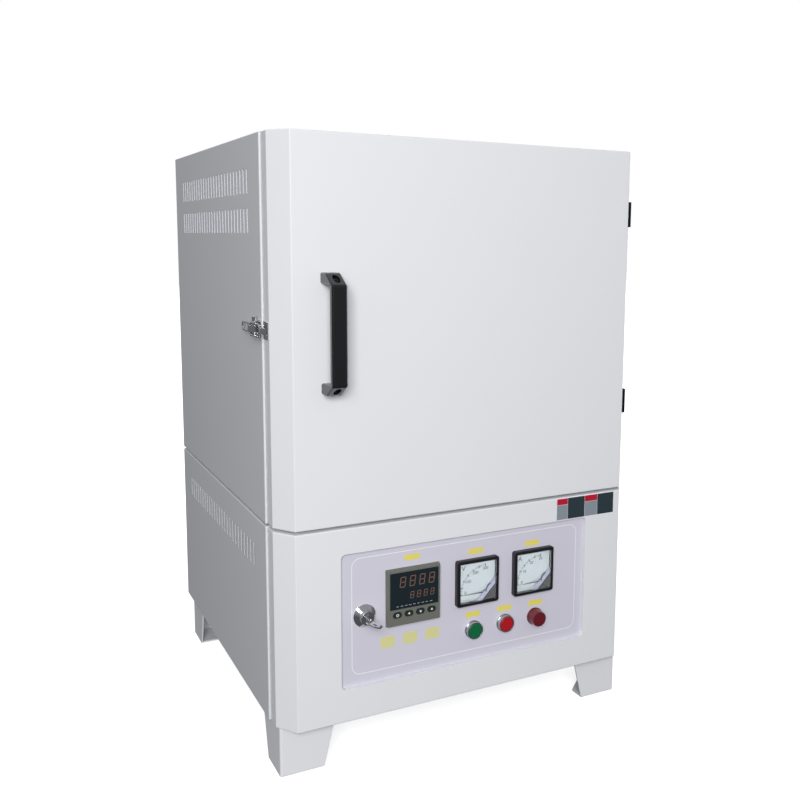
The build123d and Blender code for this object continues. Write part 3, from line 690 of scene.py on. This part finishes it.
class Flat:
    """Thin flat shapes on a surface that faces the front, in millimetres of X and Z."""

    def __init__(self, surface: float, sheet: float) -> None:
        """Starts an empty mesh.

        Args:
            surface: Y of the surface that they lie on.
            sheet: Their thickness.
        """
        self.front = surface - sheet
        self.back = surface
        self.mesh = bmesh.new()

    def polygon(self, points: list[Point]) -> None:
        """Adds one filled outline.

        Args:
            points: X and Z of its corners.
        """
        front, back = (
            [self.mesh.verts.new((x * MM, y * MM, z * MM)) for x, z in points]
            for y in (self.front, self.back)
        )
        self.mesh.faces.new(front)
        self.mesh.faces.new(back[::-1])
        for i in range(len(points)):
            j = (i + 1) % len(points)
            self.mesh.faces.new((front[i], back[i], back[j], front[j]))

    def bar(self, x: float, z: float, width: float, height: float) -> None:
        """Adds an upright rectangle by its middle and size."""
        w, h = width / 2, height / 2
        self.polygon([(x - w, z - h), (x + w, z - h), (x + w, z + h), (x - w, z + h)])

    def rounded(self, x: float, z: float, width: float, height: float, radius: float) -> None:
        """Adds a rectangle with round corners by its middle and size."""
        self.polygon(corners(x, z, width, height, radius))

    def frame(
        self, x: float, z: float, width: float, height: float, radius: float, line: float
    ) -> None:
        """Adds a line round a rectangle with round corners.

        Args:
            x: The rectangle's middle across.
            z: Its middle upwards.
            width: Its outer size across.
            height: Its outer size upwards.
            radius: Outer radius of its corners.
            line: Width of the line.
        """
        outer = corners(x, z, width, height, radius)
        inner = corners(x, z, width - 2 * line, height - 2 * line, radius - line)
        for i in range(len(outer)):
            j = (i + 1) % len(outer)
            self.polygon([outer[i], outer[j], inner[j], inner[i]])

    def line(self, start: Point, end: Point, width: float) -> None:
        """Adds a straight stroke.

        Args:
            start: Middle of one end.
            end: Middle of the other end.
            width: Width of the stroke.
        """
        run, rise = end[0] - start[0], end[1] - start[1]
        length = math.hypot(run, rise)
        x, z = -rise / length * width / 2, run / length * width / 2
        near = [(start[0] + x, start[1] + z), (start[0] - x, start[1] - z)]
        self.polygon(near + [(end[0] - x, end[1] - z), (end[0] + x, end[1] + z)])

    def finish(self, name: str, material: bpy.types.Material, body: str = "cabinet") -> None:
        """Makes the shapes one piece.

        Args:
            name: The piece's name.
            material: Its material.
            body: Body that it rides on.
        """
        bmesh.ops.recalc_face_normals(self.mesh, faces=self.mesh.faces)
        data = bpy.data.meshes.new(name)
        self.mesh.to_mesh(data)
        self.mesh.free()
        data.materials.append(material)
        add_piece(name, data, body)


@dataclass(frozen=True)
class PanelPrint:
    """Printing on the control panel, and the colour strip on the sheet above it.

    Attributes:
        middle: Middle of the panel's border line.
        size: Outer size of that line.
        radius: Outer radius of its corners.
        line: Its width.
        line_sheet: Its thickness.
        label_sheet: Thickness of the labels.
        tags: Middles of the yellow tags.
        tag: Width, height and corner radius of one.
        pale: X of the pale labels.
        pale_z: Their height.
        pale_tag: Width, height and corner radius of one.
        strip: X of the edges of the strip's blocks.
        strip_gap: Gap between two blocks.
        slate_block: Middle height and height of a slate block.
        red_block: Middle height and height of a red block.
        grey_block: Middle height and height of the grey block under it.
    """

    middle: Point = (1.5, 252.5)
    size: Point = (429.0, 195.0)
    radius: float = 15.0
    line: float = 1.3
    line_sheet: float = 0.12
    label_sheet: float = 0.15
    tags: tuple[Point, ...] = (
        (-107.3, 338.0),
        (11.1, 330.1),
        (123.1, 327.8),
        (6.8, 218.4),
        (69.3, 218.1),
        (132.2, 217.0),
    )
    tag: tuple[float, float, float] = (28.0, 9.5, 2.5)
    pale: tuple[float, ...] = (-150.6, -110.5, -69.9)
    pale_z: float = 200.0
    pale_tag: tuple[float, float, float] = (25.0, 19.0, 3.0)
    strip: tuple[float, ...] = (169.5, 192.6, 228.8, 256.2, 292.0)
    strip_gap: float = 0.6
    slate_block: Point = (382.0, 38.0)
    red_block: Point = (395.5, 11.0)
    grey_block: Point = (376.3, 26.4)

    def build(self, materials: Materials) -> None:
        """Makes the printing.

        Args:
            materials: The materials.
        """
        border = Flat(PANEL_Y, self.line_sheet)
        border.frame(*self.middle, *self.size, self.radius, self.line)
        border.finish("panel_border", materials.get(WHITE_PRINT))
        tags = Flat(PANEL_Y, self.label_sheet)
        for x, z in self.tags:
            tags.rounded(x, z, *self.tag)
        tags.finish("panel_tags", materials.get(YELLOW_TAG))
        pale = Flat(PANEL_Y, self.label_sheet)
        for x in self.pale:
            pale.rounded(x, self.pale_z, *self.pale_tag)
        pale.finish("panel_blank_labels", materials.get(PALE_TAG))
        self._strip(materials)

    def _strip(self, materials: Materials) -> None:
        """Makes the colour strip's blocks, in turn red over grey and slate.

        Args:
            materials: The materials.
        """
        slate, red, grey = (Flat(FRONT_Y, self.label_sheet) for _ in range(3))
        for i, (low, high) in enumerate(zip(self.strip, self.strip[1:])):
            middle, width = (low + high) / 2, high - low - self.strip_gap
            if i % 2:
                slate.bar(middle, self.slate_block[0], width, self.slate_block[1])
            else:
                red.bar(middle, self.red_block[0], width, self.red_block[1])
                grey.bar(middle, self.grey_block[0], width, self.grey_block[1])
        slate.finish("strip_slate", materials.get(SLATE_PRINT))
        red.finish("strip_red", materials.get(STRIP_RED))
        grey.finish("strip_grey", materials.get(STRIP_GREY))


@dataclass(frozen=True)
class DigitRow:
    """One row of unlit digits.

    Attributes:
        start: X of the first digit's middle, from the controller's middle.
        pitch: Step to the next digit.
        z: Height of their middles.
        width: Width of a digit between its strokes' middles.
        height: Height of a digit between its strokes' middles.
        stroke: Width of a stroke.
        lean: How far it leans to the right for its height.
    """

    start: float
    pitch: float
    z: float
    width: float
    height: float
    stroke: float
    lean: float = 0.12

    def add(self, flat: Flat, x: float) -> None:
        """Adds one eight of seven strokes.

        Args:
            flat: Mesh that takes it.
            x: Its middle across.
        """
        places = [(-1, -1), (1, -1), (1, 0), (1, 1), (-1, 1), (-1, 0)]
        w, h = self.width / 2, self.height / 2
        points = [(x + a * w + b * h * self.lean, self.z + b * h) for a, b in places]
        for start, end in zip(points, points[1:] + points[:1]):
            flat.line(start, end, self.stroke)
        flat.line(points[5], points[2], self.stroke)


class KeyMark(Enum):
    """A key's body, with the direction its triangle points in degrees. The first has a ring."""

    KEY_SET = None
    KEY_LEFT = 180.0
    KEY_DOWN = 270.0
    KEY_UP = 90.0


@dataclass(frozen=True)
class ControllerFace:
    """Unlit digits, dashes and key symbols of the temperature controller.

    Attributes:
        x: The controller's middle.
        window: Y of the window's face.
        window_sheet: Thickness of what shows in the window.
        digits: Digits in a row.
        rows: The rows.
        dashes: Number of dashes under them.
        dash_start: X of the first dash, from the controller's middle.
        dash_pitch: Step to the next.
        dash_z: Their height.
        dash: Length and height of one.
        keys: Y of the keys' faces.
        key_sheet: Thickness of their symbols.
        key_z: Height of the keys' middles.
        key_pitch: Step from one key to the next.
        ring: Outer size of the ring.
        ring_radius: Radius of its corners, just short of half its size so that no edge is nil.
        ring_line: Width of its line.
        triangle: Distance of the triangle's tips from its middle.
    """

    x: float = -106.5
    window: float = PANEL_Y - 8.0
    window_sheet: float = 0.1
    digits: int = 4
    rows: tuple[DigitRow, ...] = (
        DigitRow(-20.5, 17.3, 300.5, 8.6, 16.5, 1.5),
        DigitRow(-4.0, 12.2, 276.5, 5.6, 10.5, 1.1),
    )
    dashes: int = 9
    dash_start: float = -30.0
    dash_pitch: float = 7.5
    dash_z: float = 260.3
    dash: Point = (4.2, 0.9)
    keys: float = PANEL_Y - 10.2
    key_sheet: float = 0.08
    key_z: float = 246.5
    key_pitch: float = 20.5
    ring: float = 5.0
    ring_radius: float = 2.49
    ring_line: float = 1.1
    triangle: float = 2.6

    def build(self, materials: Materials) -> None:
        """Makes the face.

        Args:
            materials: The materials.
        """
        digits = Flat(self.window, self.window_sheet)
        for i in range(self.digits):
            for row in self.rows:
                row.add(digits, self.x + row.start + row.pitch * i)
        digits.finish("controller_digits", materials.get(SEGMENT))
        dashes = Flat(self.window, self.window_sheet)
        for i in range(self.dashes):
            dashes.bar(self.x + self.dash_start + self.dash_pitch * i, self.dash_z, *self.dash)
        dashes.finish("controller_dashes", materials.get(DASH))
        for i, key in enumerate(KeyMark):
            x = self.x + (i - (len(KeyMark) - 1) / 2) * self.key_pitch
            body = key.name.lower()
            mark = Flat(self.keys, self.key_sheet)
            self._symbol(mark, key, x)
            mark.finish(f"{body}_mark", materials.get(WHITE_PRINT), body)

    def _symbol(self, mark: Flat, key: KeyMark, x: float) -> None:
        """Adds a key's symbol.

        Args:
            mark: Mesh that takes it.
            key: The key.
            x: Its middle across.
        """
        if key.value is None:
            size = (self.ring, self.ring)
            mark.frame(x, self.key_z, *size, self.ring_radius, self.ring_line)
            return
        turns = [math.radians(key.value + 120 * tip) for tip in range(3)]
        reach = self.triangle
        mark.polygon([(x + reach * math.cos(t), self.key_z + reach * math.sin(t)) for t in turns])


@dataclass(frozen=True)
class Ticks:
    """One kind of tick on a dial.

    Attributes:
        name: Its name.
        count: How many stand on the quarter circle.
        length: Length of one.
        width: Width of one.
        sheet: Thickness of one.
        radius: Radius of the circle through their middles.
    """

    name: str
    count: int
    length: float
    width: float
    sheet: float = 0.1
    radius: float = 47.0

    def mesh(self, ink: bpy.types.Material) -> bpy.types.Mesh:
        """Repeats the tick round a quarter circle with geometry nodes.

        Args:
            ink: The ticks' material.

        Returns:
            All ticks, about the origin.
        """
        tree = self._tree()
        carrier = bpy.data.objects.new("carrier", bpy.data.meshes.new("carrier"))
        bpy.context.collection.objects.link(carrier)
        repeat = carrier.modifiers.new("repeat", "NODES")
        repeat.node_group = tree
        chosen = {
            "Count": self.count,
            "Radius": self.radius * MM,
            "Length": self.length * MM,
            "Width": self.width * MM,
            "Sheet": self.sheet * MM,
            "Ink": ink,
        }
        for item in tree.interface.items_tree:
            if item.item_type == "SOCKET" and item.in_out == "INPUT":
                repeat[item.identifier] = chosen[item.name]
        data = plain_mesh(carrier)
        carrier.modifiers.remove(repeat)
        bpy.data.objects.remove(carrier)
        bpy.data.node_groups.remove(tree)
        return data

    def _tree(self) -> bpy.types.NodeTree:
        """Builds the node tree that sets ticks on a quarter circle, from left to top.

        Returns:
            The tree, with its sizes as inputs.
        """
        tree = bpy.data.node_groups.new(self.name, "GeometryNodeTree")
        sizes = ("Radius", "Length", "Width", "Sheet")
        kinds = {"Count": "NodeSocketInt", **dict.fromkeys(sizes, "NodeSocketFloat")}
        kinds["Ink"] = "NodeSocketMaterial"
        for label, kind in kinds.items():
            tree.interface.new_socket(name=label, in_out="INPUT", socket_type=kind)
        tree.interface.new_socket(
            name="Geometry", in_out="OUTPUT", socket_type="NodeSocketGeometry"
        )
        given = tree.nodes.new("NodeGroupInput").outputs
        points = add_node(tree, "GeometryNodePoints", Count=given["Count"])
        index = add_node(tree, "GeometryNodeInputIndex")
        last = add_node(tree, "ShaderNodeMath", given["Count"], 1.0, operation="SUBTRACT")
        share = add_node(
            tree, "ShaderNodeMath", index.outputs[0], last.outputs[0], operation="DIVIDE"
        )
        turn = add_node(
            tree, "ShaderNodeMath", share.outputs[0], math.pi / 2, operation="MULTIPLY"
        )
        angles = add_node(tree, "ShaderNodeCombineXYZ", Y=turn.outputs[0])
        left = add_node(tree, "ShaderNodeMath", given["Radius"], -1.0, operation="MULTIPLY")
        start = add_node(tree, "ShaderNodeCombineXYZ", X=left.outputs[0])
        spot = add_node(
            tree,
            "ShaderNodeVectorRotate",
            rotation_type="EULER_XYZ",
            Vector=start.outputs[0],
            Rotation=angles.outputs[0],
        )
        placed = add_node(
            tree,
            "GeometryNodeSetPosition",
            Geometry=points.outputs[0],
            Position=spot.outputs[0],
        )
        size = add_node(
            tree, "ShaderNodeCombineXYZ", given["Length"], given["Sheet"], given["Width"]
        )
        cube = add_node(tree, "GeometryNodeMeshCube", Size=size.outputs[0])
        ticks = add_node(
            tree,
            "GeometryNodeInstanceOnPoints",
            Points=placed.outputs[0],
            Instance=cube.outputs["Mesh"],
            Rotation=angles.outputs[0],
        )
        real = add_node(tree, "GeometryNodeRealizeInstances", Geometry=ticks.outputs[0])
        inked = add_node(
            tree, "GeometryNodeSetMaterial", Geometry=real.outputs[0], Material=given["Ink"]
        )
        add_node(tree, "NodeGroupOutput", inked.outputs[0])
        return tree


@dataclass(frozen=True)
class MeterFace:
    """Dial, scale, unit and trim of one meter.

    Places are from the meter's middle, unless something else is said.

    Attributes:
        name: The meter's name.
        x: Its middle across.
        unit: Letter of its unit.
        numbers: Numbers along its scale.
        z: Its middle upwards.
        inner: Side of the dial.
        well: Depth of the dial's ground behind the meter's front.
        dial_sheet: Thickness of the dial.
        print_gap: How far the print's middle stands before the dial's ground.
        print_depth: How far it reaches to each side of that.
        hub: The needle's pivot.
        number_radius: Distance of the numbers from the pivot.
        number_lift: How far they are raised.
        number_size: Size of the numbers.
        unit_place: Middle of the unit.
        unit_size: Size of the unit.
        ticks: The scale's ticks.
        rim: The dial's corner under the trim, to the right and downwards.
        band: Where the trim starts and ends along the rim, from that corner.
        band_depth: Depth of the trim's back behind the meter's front.
        trim_sheet: Thickness of the trim and of the arm before it.
        arm: Half axes of the ellipse that the arm follows from the pivot.
        arm_turn: How far round it goes, in radians.
        arm_steps: Strokes in the arm.
        arm_width: Width of the arm.
    """

    name: str
    x: float
    unit: str
    numbers: tuple[str, ...]
    z: float = 278.0
    inner: float = 68.6
    well: float = 6.5
    dial_sheet: float = 0.2
    print_gap: float = 0.3
    print_depth: float = 0.05
    hub: Point = (16.0, -21.0)
    number_radius: float = 38.0
    number_lift: float = 3.0
    number_size: float = 7.4
    unit_place: Point = (-26.0, 25.0)
    unit_size: float = 11.5
    ticks: tuple[Ticks, ...] = (Ticks("fine", 31, 3.4, 0.55), Ticks("main", 7, 5.2, 1.3))
    rim: Point = (34.4, -34.4)
    band: Point = (26.0, 37.0)
    band_depth: float = 3.6
    trim_sheet: float = 0.2
    arm: Point = (14.0, 15.0)
    arm_turn: float = 1.2
    arm_steps: int = 12
    arm_width: float = 1.8

    def build(self, materials: Materials) -> None:
        """Makes the dial.

        Args:
            materials: The materials.
        """
        ground = METER_FRONT + self.well
        ink = materials.get(INK)
        hub = (self.x + self.hub[0], self.z + self.hub[1])
        dial = Flat(ground, self.dial_sheet)
        dial.bar(self.x, self.z, self.inner, self.inner)
        dial.finish(f"{self.name}_dial", materials.get(DIAL))
        for kind in self.ticks:
            data = kind.mesh(ink)
            place = Vector((hub[0], ground - self.print_gap, hub[1])) * MM
            data.transform(Matrix.Translation(place))
            add_piece(f"{self.name}_ticks_{kind.name}", data, "cabinet")
        for i, number in enumerate(self.numbers):
            turn = math.radians(180 - 90 * i / (len(self.numbers) - 1))
            x = hub[0] + self.number_radius * math.cos(turn)
            z = hub[1] + self.number_lift + self.number_radius * math.sin(turn)
            self._letter(f"number_{i}", number, (x, z), self.number_size, ink)
        unit = (self.x + self.unit_place[0], self.z + self.unit_place[1])
        self._letter("unit", self.unit, unit, self.unit_size, ink)
        self._trim(hub, materials)

    def _letter(
        self, part: str, text: str, place: Point, size: float, ink: bpy.types.Material
    ) -> None:
        """Sets a number or the unit on the dial.

        Args:
            part: End of the piece's name.
            text: What it says.
            place: Its middle, from the furnace's origin.
            size: Size of its letters.
            ink: Its material.
        """
        name = f"{self.name}_{part}"
        curve = bpy.data.curves.new(name, "FONT")
        curve.body, curve.size = text, size * MM
        curve.align_x, curve.align_y = "CENTER", "CENTER"
        curve.extrude = self.print_depth * MM
        draft = bpy.data.objects.new(name + "_draft", curve)
        bpy.context.collection.objects.link(draft)
        data = plain_mesh(draft)
        bpy.data.objects.remove(draft)
        front = METER_FRONT + self.well - self.print_gap
        spot = Matrix.Translation(Vector((place[0], front, place[1])) * MM)
        data.transform(spot @ Matrix.Rotation(math.radians(90), 4, "X"))
        data.materials.clear()
        data.materials.append(ink)
        add_piece(name, data, "cabinet")

    def _trim(self, hub: Point, materials: Materials) -> None:
        """Makes the pale band across the dial's corner and the arm at the pivot.

        Args:
            hub: The needle's pivot, from the furnace's origin.
            materials: The materials.
        """
        x, z = self.x + self.rim[0], self.z + self.rim[1]
        near, far = self.band
        surface = METER_FRONT + self.band_depth
        band = Flat(surface, self.trim_sheet)
        band.polygon([(x, z + near), (x, z + far), (x - far, z), (x - near, z)])
        band.finish(f"{self.name}_band", materials.get(BAND))
        arm = Flat(surface - self.trim_sheet, self.trim_sheet)
        turns = [self.arm_turn * step / self.arm_steps for step in range(self.arm_steps + 1)]
        across, up = self.arm
        track = [
            (hub[0] + across - across * math.cos(t), hub[1] + up * math.sin(t)) for t in turns
        ]
        for start, end in zip(track, track[1:]):
            arm.line(start, end, self.arm_width)
        arm.finish(f"{self.name}_arm", materials.get(INK))


METERS = (
    MeterFace("voltmeter", 12.0, "V", ("0", "100", "200", "300")),
    MeterFace("ammeter", 123.0, "A", ("0", "10", "20", "30")),
)


def main() -> None:
    """Dresses the furnace, then builds its surroundings."""
    logging.basicConfig(level=logging.INFO)
    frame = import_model()
    materials = Materials()
    paint_frame(frame, materials)
    PanelPrint().build(materials)
    ControllerFace().build(materials)
    for meter in METERS:
        meter.build(materials)
    Studio().build()
    LOG.info("scene ready")


if __name__ == "__main__":
    main()
